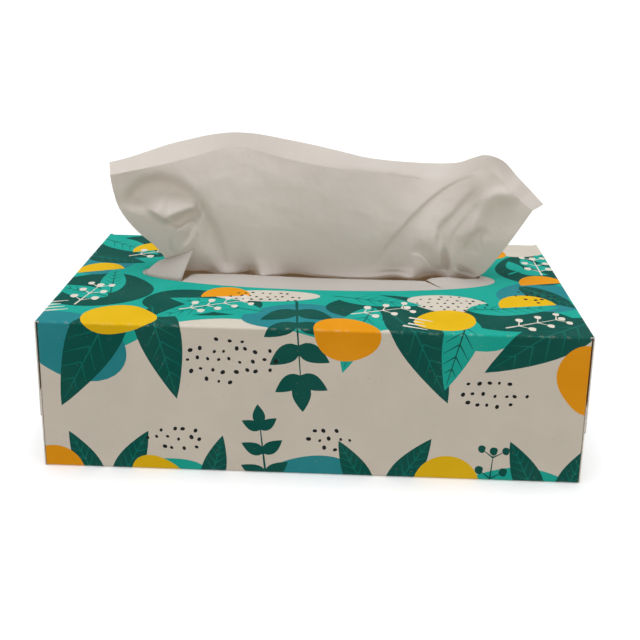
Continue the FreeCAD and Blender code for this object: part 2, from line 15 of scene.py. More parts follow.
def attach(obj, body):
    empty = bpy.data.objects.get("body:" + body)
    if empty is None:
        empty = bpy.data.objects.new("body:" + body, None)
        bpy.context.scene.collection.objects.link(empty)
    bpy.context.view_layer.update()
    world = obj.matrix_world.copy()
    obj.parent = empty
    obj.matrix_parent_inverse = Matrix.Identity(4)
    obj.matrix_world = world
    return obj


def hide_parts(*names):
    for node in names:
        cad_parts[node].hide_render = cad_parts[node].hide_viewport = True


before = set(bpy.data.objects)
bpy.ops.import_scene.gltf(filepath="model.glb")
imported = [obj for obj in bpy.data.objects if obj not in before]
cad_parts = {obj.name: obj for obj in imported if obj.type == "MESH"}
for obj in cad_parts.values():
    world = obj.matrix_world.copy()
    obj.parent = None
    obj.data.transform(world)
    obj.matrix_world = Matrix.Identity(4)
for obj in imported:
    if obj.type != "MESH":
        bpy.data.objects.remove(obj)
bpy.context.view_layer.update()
MM = 0.001

# Carton, as in the part
LENGTH, DEPTH, HEIGHT = 230.0, 118.0, 67.0
BOARD = 0.5
FOLD = 1.2
END_FOLD = 0.75
SLEEVE_END = LENGTH / 2 - 2 * BOARD - END_FOLD - 0.1
OPENING = (0.0, 2.5, 84.0, 18.0)
FLAP_CORNER = 7.0
TOP_FLAP, BOTTOM_FLAP, DUST_FLAP, GLUE_FLAP = 50.0, 42.0, 40.0, 18.0
EDGE_GAP = 0.15
FOLD_STEPS = (0.0, 0.25, 0.5, 0.75, 1.0)

# Linear colours of the boards and papers, and of the inks by name
CREAM = (0.65, 0.59, 0.50)
PALE = (0.74, 0.68, 0.59)
CUT_EDGE = (0.74, 0.69, 0.61)
INSIDE = (0.36, 0.28, 0.19)
TISSUE = (0.718, 0.657, 0.614)
TISSUE_GLOW = (0.75, 0.64, 0.53)
LINER = (0.70, 0.655, 0.61)
LINER_GLOW = (0.72, 0.67, 0.62)
INKS = {
    "teal": (0.008, 0.38, 0.30), "dark_green": (0.0, 0.080, 0.062), "mid_green": (0.002, 0.150, 0.118),
    "blue_teal": (0.018, 0.235, 0.26), "yellow": (0.78, 0.47, 0.004), "orange": (0.80, 0.31, 0.004),
    "black": (0.010, 0.012, 0.012), "pale": PALE, "cream": CREAM,
}
# The share of light that each thin paper lets through
TISSUE_SEE_THROUGH, LINER_SEE_THROUGH = 0.26, 0.35
# Painted glow: a warm emission on the papers below the slit, standing in for light that comes through the
# papers into the box. Its colour, its strength, and how far below the slit it is full
PAINTED_GLOW_COLOUR, PAINTED_GLOW_STRENGTH, PAINTED_GLOW_DEPTH = (0.55, 0.37, 0.20), 0.115, 1.5


# Camera, solved from the carton's corners in the photograph

CAMERA_PLACE = Vector((13.26, -393.95, 216.26))
CAMERA_PITCH, CAMERA_YAW, CAMERA_ROLL = 14.36, 1.87, 0.92
FOCAL_PIXELS, PICTURE = 884.1, 640
CAMERA_SHIFT = -0.22
SENSOR = 36.0


def link(name, data):
    """An object in the scene for a mesh, a camera or a light."""
    piece = bpy.data.objects.new(name, data)
    bpy.context.scene.collection.objects.link(piece)
    return piece


def add_camera():
    data = bpy.data.cameras.new("camera")
    data.sensor_width = SENSOR
    data.lens = FOCAL_PIXELS * SENSOR / PICTURE
    data.shift_y = CAMERA_SHIFT
    camera = link("camera", data)
    camera.location = CAMERA_PLACE * MM
    level = Euler((math.radians(90 - CAMERA_PITCH), 0, 0)).to_matrix()
    turn = Euler((0, 0, math.radians(CAMERA_YAW))).to_matrix()
    roll = Euler((0, 0, math.radians(CAMERA_ROLL))).to_matrix()
    camera.rotation_euler = (turn @ level @ roll).to_euler()
    bpy.context.scene.camera = camera


# Materials

def put(node, socket, value):
    """Sets a socket of a node to a constant."""
    node.inputs[socket].default_value = value


class Nodes:
    """Adds nodes to a material and links them in one line each."""

    def __init__(self, name, roughness, specular):
        self.material = bpy.data.materials.new(name)
        self.material.use_nodes = True
        self.tree = self.material.node_tree
        self.shader = self.tree.nodes["Principled BSDF"]
        put(self.shader, "Roughness", roughness)
        put(self.shader, "Specular IOR Level", specular)
        self.place = self.tree.nodes.new("ShaderNodeTexCoord").outputs["Object"]

    def add(self, kind, **values):
        node = self.tree.nodes.new(kind)
        for name, value in values.items():
            setattr(node, name, value)
        return node

    def link(self, start, node, socket):
        self.tree.links.new(start, node.inputs[socket])

    def noise(self, scale, detail=2.0, stretch=(1, 1, 1)):
        """Noise with a scale in waves per metre, drawn out by a stretch along each axis."""
        mapping = self.add("ShaderNodeMapping")
        put(mapping, "Scale", stretch)
        self.link(self.place, mapping, "Vector")
        texture = self.add("ShaderNodeTexNoise")
        put(texture, "Scale", scale)
        put(texture, "Detail", detail)
        self.link(mapping.outputs["Vector"], texture, "Vector")
        return texture.outputs["Fac"]

    def specks(self, scale, size):
        """One where a speck is and nought elsewhere, with scale specks in a metre."""
        texture = self.add("ShaderNodeTexVoronoi")
        put(texture, "Scale", scale)
        self.link(self.place, texture, "Vector")
        spread = self.noise(scale * 0.7)
        limit = self.ramp(spread, 0.52, 0.62)
        near = self.ramp(texture.outputs["Distance"], size, size * 0.6)
        return self.times(limit, near)

    def ramp(self, value, low, high):
        node = self.add("ShaderNodeMapRange")
        put(node, "From Min", low)
        put(node, "From Max", high)
        self.link(value, node, "Value")
        return node.outputs["Result"]

    def times(self, first, second):
        node = self.add("ShaderNodeMath", operation="MULTIPLY")
        self.link(first, node, 0)
        if isinstance(second, float):
            put(node, 1, second)
        else:
            self.link(second, node, 1)
        return node.outputs["Value"]

    def mixed(self, factor, first, second):
        """A colour between two, each a plain colour or a socket."""
        node = self.add("ShaderNodeMix", data_type="RGBA")
        self.link(factor, node, "Factor")
        for colour, socket in ((first, 6), (second, 7)):
            if isinstance(colour, tuple):
                put(node, socket, (*colour, 1))
            else:
                self.link(colour, node, socket)
        return node.outputs[2]

    def finish(self, colour, height, distance, strength):
        """Links the colour to the shader, and a relief with a depth in millimetres."""
        self.link(colour, self.shader, "Base Color")
        node = self.add("ShaderNodeBump")
        put(node, "Distance", distance * MM)
        put(node, "Strength", strength)
        self.link(height, node, "Height")
        self.link(node.outputs["Normal"], self.shader, "Normal")


def darker(colour, share):
    return tuple(part * share for part in colour)


def mix(first, second, share):
    return tuple(a + (b - a) * share for a, b in zip(first, second))


def printed(name, colour, grain=0.06):
    """Ink on recycled board: uneven ink, flecks and fibres that show, and cracked ink along the folds."""
    nodes = Nodes(name, 0.72, 0.10)
    tone = nodes.ramp(nodes.noise(60, 3), 0.35, 0.68)
    out = nodes.mixed(tone, darker(colour, 1 - grain), mix(colour, PALE, grain * 0.15))
    grainy = nodes.ramp(nodes.noise(1800, 3), 0.62, 0.78)
    out = nodes.mixed(nodes.times(grainy, 0.3), out, mix(colour, CREAM, 0.08))
    flecks = nodes.specks(420, 0.20)
    out = nodes.mixed(nodes.times(flecks, 0.5), out, mix(colour, INSIDE, 0.4))
    wear = nodes.add("ShaderNodeAttribute", attribute_name="wear").outputs["Fac"]
    crack = nodes.ramp(nodes.noise(420, 5), 0.52, 0.72)
    out = nodes.mixed(nodes.times(nodes.times(wear, crack), 0.22), out, PALE)
    nodes.finish(out, nodes.noise(1400, 3), 0.05, 0.5)
    return nodes.material


def plain_board(name, colour):
    """Unprinted board, with fibres that run along it."""
    nodes = Nodes(name, 0.85, 0.15)
    fibres = nodes.ramp(nodes.noise(700, 4, (0.25, 1, 1)), 0.35, 0.7)
    out = nodes.mixed(fibres, darker(colour, 0.86), mix(colour, PALE, 0.16))
    flecks = nodes.specks(500, 0.22)
    out = nodes.mixed(nodes.times(flecks, 0.6), out, darker(colour, 0.45))
    nodes.finish(out, nodes.noise(1500, 3, (0.3, 1, 1)), 0.08, 0.6)
    return nodes.material


def thin_paper(name, colour, glow_colour, see_through):
    """Thin paper or tissue that lets some warmer light through, with soft crepe and tiny specks, and a
    painted warm glow below the slit in place of light inside the box.
    """
    nodes = Nodes(name, 0.95, 0.12)
    cloud = nodes.ramp(nodes.noise(45, 4), 0.3, 0.7)
    out = nodes.mixed(cloud, darker(colour, 0.965), mix(colour, PALE, 0.14))
    specks = nodes.specks(230, 0.10)
    out = nodes.mixed(nodes.times(specks, 0.35), out, darker(colour, 0.45))
    nodes.finish(out, nodes.noise(1300, 4, (0.45, 1, 1)), 0.14, 0.7)
    put(nodes.shader, "Sheen Weight", 0.12)
    put(nodes.shader, "Sheen Roughness", 0.6)
    height = nodes.add("ShaderNodeSeparateXYZ")
    nodes.link(nodes.place, height, "Vector")
    # Painted glow: below the slit the paper glows warm as emission, standing in for light inside the box
    painted_glow_mask = nodes.ramp(height.outputs["Z"], SLIT_Z * MM, (SLIT_Z - PAINTED_GLOW_DEPTH) * MM)
    put(nodes.shader, "Emission Color", (*PAINTED_GLOW_COLOUR, 1))
    nodes.link(nodes.times(painted_glow_mask, PAINTED_GLOW_STRENGTH), nodes.shader, "Emission Strength")
    glow = nodes.add("ShaderNodeBsdfTranslucent")
    put(glow, "Color", (*glow_colour, 1))
    both = nodes.add("ShaderNodeMixShader")
    put(both, "Fac", see_through)
    nodes.link(nodes.shader.outputs["BSDF"], both, 1)
    nodes.link(glow.outputs["BSDF"], both, 2)
    nodes.link(both.outputs["Shader"], nodes.tree.nodes["Material Output"], "Surface")
    return nodes.material


def layered_tissue(name):
    """The edges of many folded sheets, as fine level lines."""
    nodes = Nodes(name, 0.95, 0.1)
    lines = nodes.ramp(nodes.noise(900, 2, (0.04, 0.04, 1)), 0.4, 0.62)
    out = nodes.mixed(lines, darker(TISSUE, 0.62), mix(TISSUE, PALE, 0.25))
    nodes.finish(out, lines, 0.15, 0.8)
    return nodes.material


# Outlines of the print, as closed rings of points on the flat blank, in millimetres

PEBBLE_STEPS, MOON_STEPS, DOT_STEPS, OVAL_STEPS, SHORE_STEPS = 40, 20, 8, 96, 70
RIB, VEIN, STEM, BERRY_STEM, TWIG, DASH = 0.9, 0.6, 1.3, 0.9, 0.7, 1.5
VEINS = 5
SPRIG_SPREAD = 52


def turned(points, degrees, centre):
    """The points turned about nought and moved to a centre."""
    c, s = math.cos(math.radians(degrees)), math.sin(math.radians(degrees))
    return [(centre[0] + x * c - y * s, centre[1] + x * s + y * c) for x, y in points]


def ellipse(wide, high, steps, count=None):
    """Points round an oval about nought, all of them or the first ones."""
    turns = [math.tau * n / steps for n in range(count or steps)]
    return [(wide * math.cos(turn), high * math.sin(turn)) for turn in turns]


def pebble(centre, half_width, half_height, seed, degrees=0.0):
    """A rounded shape, uneven as if cut by hand."""
    chance = random.Random(seed)
    waves = [(n, chance.uniform(0.03, 0.10) / (n - 1), chance.uniform(0, math.tau)) for n in (2, 3, 4)]
    points = []
    for x, y in ellipse(half_width, half_height, PEBBLE_STEPS):
        angle = math.tau * len(points) / PEBBLE_STEPS
        swell = 1 + sum(size * math.sin(n * angle + start) for n, size, start in waves)
        points.append((x * swell, y * swell))
    return turned(points, degrees, centre)


def leaf_outline(length, width, bend=0.0, steps=14):
    """An egg-shaped leaf from its stalk at nought to its tip along x, bent sideways by a share."""
    def side(sign):
        shares = [n / steps for n in range(steps + 1)]
        halves = [width / 2 * math.sin(math.pi * t ** 0.8) ** 0.85 * (1 - 0.25 * t) for t in shares]
        return [(length * t, sign * half + bend * length * t * t) for t, half in zip(shares, halves)]
    return side(-1) + side(1)[-2:0:-1]


def stroke(start, end, width):
    """A straight line that narrows to its end."""
    dx, dy = end[0] - start[0], end[1] - start[1]
    size = math.hypot(dx, dy)
    nx, ny = -dy / size * width / 2, dx / size * width / 2
    return [(start[0] - nx, start[1] - ny), (end[0] - nx * 0.3, end[1] - ny * 0.3),
            (end[0] + nx * 0.3, end[1] + ny * 0.3), (start[0] + nx, start[1] + ny)]


class Print:
    """The layers of the printed design, each a colour's name and an outline, the last on top."""

    def __init__(self):
        self.layers = []

    def add(self, colour, outline):
        self.layers.append((colour, outline))

    def pebble(self, colour, *sizes):
        self.add(colour, pebble(*sizes))

    def leaf(self, base, degrees, length, width, bend=0.0, colour="dark_green", vein="mid_green"):
        """A broad leaf with a rib and side veins."""
        self.add(colour, turned(leaf_outline(length, width, bend), degrees, base))
        self.add(vein, turned(stroke((0, 0), (length * 0.94, bend * length * 0.88), RIB), degrees, base))
        for n in range(1, VEINS + 1):
            t = 0.12 + 0.13 * n
            root = (length * t, bend * length * t * t)
            reach = width * 0.34 * math.sin(math.pi * (t + 0.05) ** 0.8)
            for sign in (-1, 1):
                end = (root[0] + reach * 1.1, root[1] + sign * reach)
                self.add(vein, turned(stroke(root, end, VEIN), degrees, base))

    def sprig(self, base, degrees, length, pairs, size, colour="dark_green"):
        """A thin stem with round leaves in pairs and one at its end."""
        self.add(colour, turned(stroke((0, 0), (length, 0), STEM), degrees, base))
        for n in range(pairs):
            t = (n + 0.7) / pairs
            scale = size * (1.1 - 0.4 * t)
            root = turned([(length * t, 0)], degrees, base)[0]
            for sign in (-1, 1):
                outline = leaf_outline(scale, scale * 0.62, 0.08 * sign, 9)
                self.add(colour, turned(outline, degrees + sign * SPRIG_SPREAD, root))
        tip = turned([(length * 0.97, 0)], degrees, base)[0]
        self.add(colour, turned(leaf_outline(size * 0.8, size * 0.5, 0, 9), degrees, tip))

    def moon(self, centre, radius, degrees, colour):
        """A half disc."""
        self.add(colour, turned(ellipse(radius, radius, 2 * MOON_STEPS, MOON_STEPS + 1), degrees, centre))

    def disc(self, centre, radius, colour):
        self.add(colour, pebble(centre, radius, radius, 5))

    def berries(self, base, degrees, length, pairs, size, colour="pale"):
        """A thin stem with round beads in pairs and one at its end."""
        self.add(colour, turned(stroke((0, 0), (length, 0), BERRY_STEM), degrees, base))
        for n in range(pairs):
            along = length * (n + 0.8) / pairs
            for sign in (-1, 1):
                reach = size * 1.7
                end = (along + reach * 0.5, sign * reach)
                self.add(colour, turned(stroke((along - 1, 0), end, TWIG), degrees, base))
                self.disc(turned([end], degrees, base)[0], size * (0.62 - 0.12 * n / pairs), colour)
        self.disc(turned([(length, 0)], degrees, base)[0], size * 0.6, colour)

    def dots(self, centre, half_width, half_height, pitch, radius, seed):
        """Small black dots spread evenly but not in rows."""
        chance = random.Random(seed)
        rows = int(half_height / pitch)
        columns = int(half_width / pitch)
        for row in range(-rows, rows + 1):
            for column in range(-columns, columns + 1):
                x = (column + 0.5 * (row % 2) + chance.uniform(-0.2, 0.2)) * pitch
                y = (row + chance.uniform(-0.2, 0.2)) * pitch
                if (x / half_width) ** 2 + (y / half_height) ** 2 < 1:
                    size = radius * chance.uniform(0.75, 1.2)
                    at = (centre[0] + x, centre[1] + y)
                    dot = ellipse(size, 0.8 * size, DOT_STEPS)
                    self.add("black", turned(dot, chance.uniform(0, 180), at))

    def dashes(self, centre, degrees, count, length, gap):
        """A few pale parallel brush dashes."""
        for n in range(count):
            at = turned([(0, (n - (count - 1) / 2) * gap)], degrees, centre)[0]
            reach = length * (0.7 + 0.3 * math.sin(2.1 * n + 1))
            self.add("pale", turned(stroke((-reach / 2, 0), (reach / 2, 0), DASH), degrees, at))


def shore(points, end):
    """A field whose near border is a smooth line through points, and whose far border is level."""
    us = np.linspace(points[0][0], points[-1][0], SHORE_STEPS)
    line = list(zip(us, table(points, us)))
    return line + [(us[-1], end), (us[0], end)]


def each(draw, rows):
    """Draws one shape for each row of sizes."""
    for row in rows:
        draw(*row)


def draw_grounds(art):
    """Fields of colour over the whole top panel, with a few cream ones left free."""
    art.add("teal", shore([(-121, 58), (-100, 49), (-78, 57), (-52, 72), (-30, 75), (-8, 66), (14, 62),
                           (38, 70), (56, 62), (76, 60), (94, 70), (121, 66)], 190))
    for colour, u, v, wide, high, degrees in (
            ("blue_teal", -103, 60, 27, 17, -14), ("dark_green", -100, 104, 26, 20, 14),
            ("dark_green", -50, 92, 25, 15, -5), ("blue_teal", -8, 80, 22, 13, 6),
            ("cream", -22, 102, 22, 7, 0), ("dark_green", 30, 92, 23, 15, 4),
            ("cream", 60, 98, 19, 10, -8), ("dark_green", 86, 84, 24, 14, -8),
            ("blue_teal", 102, 110, 20, 17, 10), ("dark_green", 106, 146, 20, 20, 0),
            ("blue_teal", -106, 140, 17, 16, 0), ("dark_green", -86, 166, 30, 18, 4),
            ("cream", -46, 172, 18, 12, 0), ("dark_green", -6, 168, 24, 16, 0),
            ("blue_teal", 34, 170, 22, 14, 0), ("dark_green", 72, 170, 22, 15, 0),
            ("cream", 104, 176, 15, 11, 0)):
        art.pebble(colour, (u, v), wide, high, u, degrees)


def draw_front_and_top(art):
    """The front panel has a bare middle band, with the design over its top fold and along its lower edge."""
    draw_grounds(art)
    each(art.leaf, [
        ((-77, 84), -122, 62, 25, 0.08), ((-70, 86), -72, 54, 21, -0.06),
        ((-92, 96), 158, 32, 14, 0, "teal"), ((-92, 100), 100, 34, 13, 0, "teal")])
    art.sprig((-8, 96), -86, 54, 4, 18)
    each(art.leaf, [
        ((-22, 84), 164, 44, 17, 0, "teal"), ((-34, 96), -148, 40, 16, 0, "teal"),
        ((32, 88), -60, 58, 23, -0.08), ((26, 92), -110, 46, 18, 0.06, "teal"),
        ((8, 104), -12, 40, 15, 0, "teal"), ((66, 84), -104, 44, 17, 0, "teal", "dark_green"),
        ((122, 86), -140, 62, 25, -0.08), ((66, 92), 8, 42, 16, 0, "teal"),
        ((94, 122), -48, 34, 14)])
    art.sprig((92, 138), 42, 40, 4, 14, "teal")
    each(art.leaf, [
        ((-118, 150), -16, 34, 15), ((-118, 178), -34, 44, 17, 0, "teal"),
        ((-66, 186), -62, 36, 15), ((-10, 186), -108, 34, 14, 0, "teal"),
        ((44, 188), -70, 36, 15), ((92, 188), -118, 38, 16, 0, "teal")])
    each(art.pebble, [
        ("yellow", (-82, 74), 16, 12, 11, 12), ("orange", (14, 66), 15, 12, 12, -14),
        ("yellow", (56, 80), 14, 10, 13, 24), ("orange", (113, 48), 12, 15, 14, 8)])
    each(art.moon, [
        ((-40, 100), 11, 8, "orange"), ((-104, 128), 11, 20, "yellow"),
        ((94, 98), 13, 12, "yellow"), ((106, 126), 11, 14, "orange"),
        ((-84, 160), 12, 20, "yellow")])
    each(art.pebble, [
        ("yellow", (26, 176), 14, 9, 16), ("orange", (84, 168), 12, 9, 17)])
    each(art.berries, [
        ((-104, 86), 78, 24, 3, 3), ((-58, 84), 24, 30, 4, 2.8), ((16, 84), 20, 26, 3, 2.8),
        ((80, 74), 24, 28, 3, 2.8), ((108, 138), 90, 24, 3, 3), ((-96, 150), 30, 26, 3, 3)])
    each(art.dots, [
        ((-34, 52), 20, 10, 4.6, 1, 21), ((76, 40), 15, 7, 4.6, 1, 23),
        ((-22, 101), 18, 6, 3.8, 0.8, 24), ((61, 99), 16, 8, 3.8, 0.8, 25),
        ((100, 111), 11, 9, 4.4, 0.9, 26), ((-46, 170), 15, 10, 4.4, 0.9, 27)])
    each(art.dashes, [
        ((-112, 84), 16, 4, 12, 3.2), ((44, 76), -20, 4, 11, 3)])


def draw_lower_edge(art):
    """The low row along the front panel's bottom fold, which runs on under the box."""
    for colour, u, wide, high in (("teal", -62, 18, 8), ("blue_teal", 4, 20, 11), ("teal", 88, 20, 9)):
        art.pebble(colour, (u, -2), wide, high, 30 + u)
    for u, degrees, length in ((-90, 116, 30), (-84, 62, 32), (-44, 76, 28), (26, 118, 30), (33, 58, 34),
                               (98, 116, 32), (106, 68, 30)):
        art.leaf((u, -10), degrees, length, length * 0.42)
    art.sprig((-18, -10), 96, 34, 3, 12)
    art.moon((-110, -3), 13, 4, "orange")
    art.moon((58, -3), 14, -4, "yellow")
    art.pebble("yellow", (-66, -4), 12, 10, 33)
    art.berries((76, -6), 86, 20, 2, 3, "dark_green")
    each(art.dots, [((-56, 15), 14, 6, 4.6, 1, 36), ((8, 17), 12, 5, 4.6, 1, 37)])


def draw_back_and_bottom(art):
    """Looser groups of the same shapes on the back panel and the underside."""
    for n, u in enumerate((-88, -30, 30, 88)):
        art.pebble(("teal", "blue_teal")[n % 2], (u, -126), 30, 17, 41 + n)
        art.pebble(("blue_teal", "teal")[n % 2], (u + 12, -182), 32, 15, 51 + n)
        art.leaf((u - 16, -142), 60 + 16 * n, 38, 15, 0.08)
        art.leaf((u + 20, -184), 104 - 14 * n, 36, 14)
        art.sprig((u + 4, -150), -70 + 12 * n, 34, 4, 11)
        art.pebble(("yellow", "orange")[n % 2], (u - 14, -172), 12, 10, 61 + n)
        art.berries((u + 16, -166), 70 + 12 * n, 24, 3, 3, "dark_green")
        art.dots((u - 8, -158), 9, 9, 4.4, 0.9, 71 + n)
    for n, u in enumerate((-80, 0, 80)):
        art.pebble(("yellow", "teal", "orange")[n], (u, -62), 16, 13, 81 + n)
        art.leaf((u - 22, -80), 40 + 20 * n, 40, 16)
        art.dots((u + 16, -48), 14, 10, 5, 1, 91 + n)


def draw_ends(art):
    """The design runs on from the top panel over both end flaps."""
    for side in (-1, 1):
        art.pebble("teal", (side * 134, 104), 20, 30, 101 + side)
        art.pebble("blue_teal", (side * 146, 160), 22, 22, 104 + side)
        art.leaf((side * 120, 130), 90 - side * 70, 44, 17)
        art.leaf((side * 128, 180), -90 + side * 40, 46, 18)
        art.leaf((side * 150, 72), 90 + side * 20, 40, 16)
        art.pebble("yellow", (side * 140, 132), 12, 13, 107 + side)
        art.moon((side * 128, 78), 13, 90 * side, "orange")
        art.berries((side * 140, 106), 60, 24, 3, 3)
        art.dots((side * 146, 92), 8, 10, 4.4, 0.9, 110 + side)


# Carton

# Panels of the flat blank: where each starts as (y, z), its direction, its outward normal and its length
BACK, BOTTOM, FRONT, TOP, GLUE = range(5)
PANELS = {
    BACK: ((DEPTH / 2, HEIGHT - FOLD / 2), (0, -1), (1, 0), HEIGHT - FOLD / 2),
    BOTTOM: ((DEPTH / 2, 0.0), (-1, 0), (0, -1), DEPTH),
    FRONT: ((-DEPTH / 2, 0.0), (0, 1), (-1, 0), HEIGHT),
    TOP: ((-DEPTH / 2, HEIGHT), (1, 0), (0, 1), DEPTH - BOARD),
    GLUE: ((DEPTH / 2 - BOARD, HEIGHT), (0, -1), (1, 0), GLUE_FLAP),
}
FIRST_V = -DEPTH - PANELS[BACK][3]
STARTS = [FIRST_V + sum(PANELS[panel][3] for panel in range(n)) for n in range(len(PANELS) + 1)]
# The materials of the carton's faces, with the inks after them
BARE_FACE, INSIDE_FACE, EDGE_FACE, FIRST_INK = range(4)


def flat_point(n, u, v, inset):
    """A point on one panel's flat, inset below its outer face, and its outward direction."""
    start, along, normal, length = PANELS[n]
    run = v - STARTS[n]
    y, z = (s + a * run - out * inset for s, a, out in zip(start, along, normal))
    return Vector((u, y, z)), Vector((0, *normal))


def sleeve_point(u, v, inset):
    """A point of the folded sleeve, inset below its outer face, and its outward direction."""
    corner = next((n for n in (BOTTOM, FRONT, TOP, GLUE) if abs(v - STARTS[n]) < FOLD), None)
    if corner is None:
        return flat_point(sum(v >= start for start in STARTS[1:-1]), u, v, inset)
    old, new = PANELS[corner - 1], PANELS[corner]
    turn = (v - STARTS[corner] + FOLD) / (2 * FOLD) * math.pi / 2
    normal = [a * math.cos(turn) + b * math.sin(turn) for a, b in zip(old[2], new[2])]
    centre = [c - a * FOLD + b * FOLD for c, a, b in zip(new[0], old[1], new[1])]
    y, z = (c + part * (FOLD - inset) for c, part in zip(centre, normal))
    return Vector((u, y, z)), Vector((0, *normal))


class Flap:
    """One end flap, folded off its panel at one side, with its outer face and its reach."""

    def __init__(self, panel, side, outer, reach):
        self.panel, self.side = panel, side
        self.start, self.end = outer - END_FOLD, outer + reach

    def fold_lines(self):
        return [self.start + 2 * END_FOLD * step for step in FOLD_STEPS]

    def point(self, u, v, inset):
        run = abs(u) - self.start
        if run <= 0:
            return flat_point(self.panel, u, v, inset)
        flat, outward = flat_point(self.panel, u, v, 0)
        turn = min(run / (2 * END_FOLD), 1) * math.pi / 2
        sunk = END_FOLD - (END_FOLD - inset) * math.cos(turn) + max(run - 2 * END_FOLD, 0)
        place = flat - outward * sunk
        place.x = self.side * (self.start + (END_FOLD - inset) * math.sin(turn))
        outward *= math.cos(turn)
        outward.x = self.side * math.sin(turn)
        return place, outward


def rectangle(low_u, high_u, low_v, high_v):
    return [(low_u, low_v), (high_u, low_v), (high_u, high_v), (low_u, high_v)]


def flap_outline(flap, low_v, high_v, corner):
    """A flap's outline on the blank, with its two free corners cut off if a corner's size is given."""
    start, end = SLEEVE_END * flap.side, flap.end * flap.side
    if not corner:
        return rectangle(start, end, low_v, high_v)
    cut = end - corner * flap.side
    return [(start, low_v), (cut, low_v), (end, low_v + corner), (end, high_v - corner), (cut, high_v),
            (start, high_v)]


def oval():
    """The opening's outline on the blank."""
    x, y, a, b = OPENING
    return turned(ellipse(a, b, OVAL_STEPS), 0, (x, STARTS[TOP] + DEPTH / 2 + y))


def upright(outline):
    """The outline running counter-clockwise."""
    area = sum(a[0] * b[1] - b[0] * a[1] for a, b in zip(outline, outline[1:] + outline[:1]))
    return outline if area > 0 else outline[::-1]


def cut_up(outline, holes, lines, layers, points=()):
    """Cuts a flat outline into triangles along its holes, its lines and the outlines of the layers.

    Gives the points, the triangles and, for each triangle, the number of the topmost layer, or -1.
    """
    corners, edges, faces = [], [], []
    for closed in [outline, *holes, *layers]:
        first = len(corners)
        corners += [Vector(point) for point in upright(closed)]
        faces.append(list(range(first, len(corners))))
    for start, end in lines:
        edges.append((len(corners), len(corners) + 1))
        corners += [Vector(start), Vector(end)]
    corners += [Vector(point) for point in points]
    inside_only, same_point, need_owners = 1, 1e-5, True
    made = delaunay_2d_cdt(corners, edges, faces, inside_only, same_point, need_owners)
    places, triangles, owners = made[0], made[2], made[5]
    kept, tops, number = [], [], {}
    hole_numbers = set(range(1, 1 + len(holes)))
    for triangle, owner in zip(triangles, owners):
        if 0 in owner and not hole_numbers & set(owner):
            kept.append([number.setdefault(corner, len(number)) for corner in triangle])
            tops.append(max(owner) - 1 - len(holes) if max(owner) > len(holes) else -1)
    return [places[corner] for corner in number], kept, tops


def open_edges(triangles):
    """The edges that only one triangle has, in that triangle's direction."""
    seen = dict.fromkeys((triangle[n], triangle[(n + 1) % 3]) for triangle in triangles for n in range(3))
    return [edge for edge in seen if (edge[1], edge[0]) not in seen]


class Sheet:
    """Gathers the faces of one folded sheet, with a normal at each corner and a material for each face."""

    def __init__(self):
        self.points, self.faces, self.normals, self.slots, self.wear = [], [], [], [], []

    def add_face(self, corners, normals, slot):
        self.faces.append(corners)
        self.normals.extend(normals)
        self.slots.append(slot)

    def add_board(self, flat, place, colours, wear):
        """Adds both faces and the cut edges of a piece of the blank. place folds a flat point."""
        points, triangles, tops = flat
        first = len(self.points)
        outer = [place(u, v, 0.0) for u, v in points]
        inner = [place(u, v, BOARD) for u, v in points]
        self.points += [point for point, normal in outer] + [point for point, normal in inner]
        self.wear += [wear(u, v) for u, v in points] + [0.0] * len(points)
        count = len(points)
        for (a, b, c), top in zip(triangles, tops):
            self.add_face([first + n for n in (a, b, c)], [outer[n][1] for n in (a, b, c)], colours[top])
            inward = [-outer[n][1] for n in (c, b, a)]
            self.add_face([first + count + n for n in (c, b, a)], inward, INSIDE_FACE)
        for a, b in open_edges(triangles):
            corners = [first + b, first + a, first + count + a, first + count + b]
            side = [self.points[n] for n in corners]
            across = (side[1] - side[0]).cross(side[3] - side[0])
            if across.length > 0:
                self.add_face(corners, [across.normalized()] * 4, EDGE_FACE)

    def build(self, name, materials):
        piece = mesh_object(name, self.points, self.faces, materials)
        piece.data.polygons.foreach_set("material_index", self.slots)
        wear = piece.data.attributes.new("wear", "FLOAT", "POINT")
        wear.data.foreach_set("value", self.wear)
        piece.data.normals_split_custom_set(self.normals)
        return piece


def mesh_object(name, points, faces, materials, smooth=True):
    """An object of a mesh with points in millimetres."""
    mesh = bpy.data.meshes.new(name)
    mesh.from_pydata([point * MM for point in points], [], faces)
    mesh.polygons.foreach_set("use_smooth", [smooth] * len(faces))
    for material in materials:
        mesh.materials.append(material)
    return link(name, mesh)


def grid_faces(rows, columns, first=0):
    """The four-sided faces of a grid of points, row after row."""
    corners = [first + row * columns + n for row in range(rows - 1) for n in range(columns - 1)]
    return [[a, a + 1, a + columns + 1, a + columns] for a in corners]


def fold_wear(distance):
    """How worn the print is at a distance from a fold's middle, from 0 to 1."""
    return max(0.0, 1 - abs(distance) / FOLD)


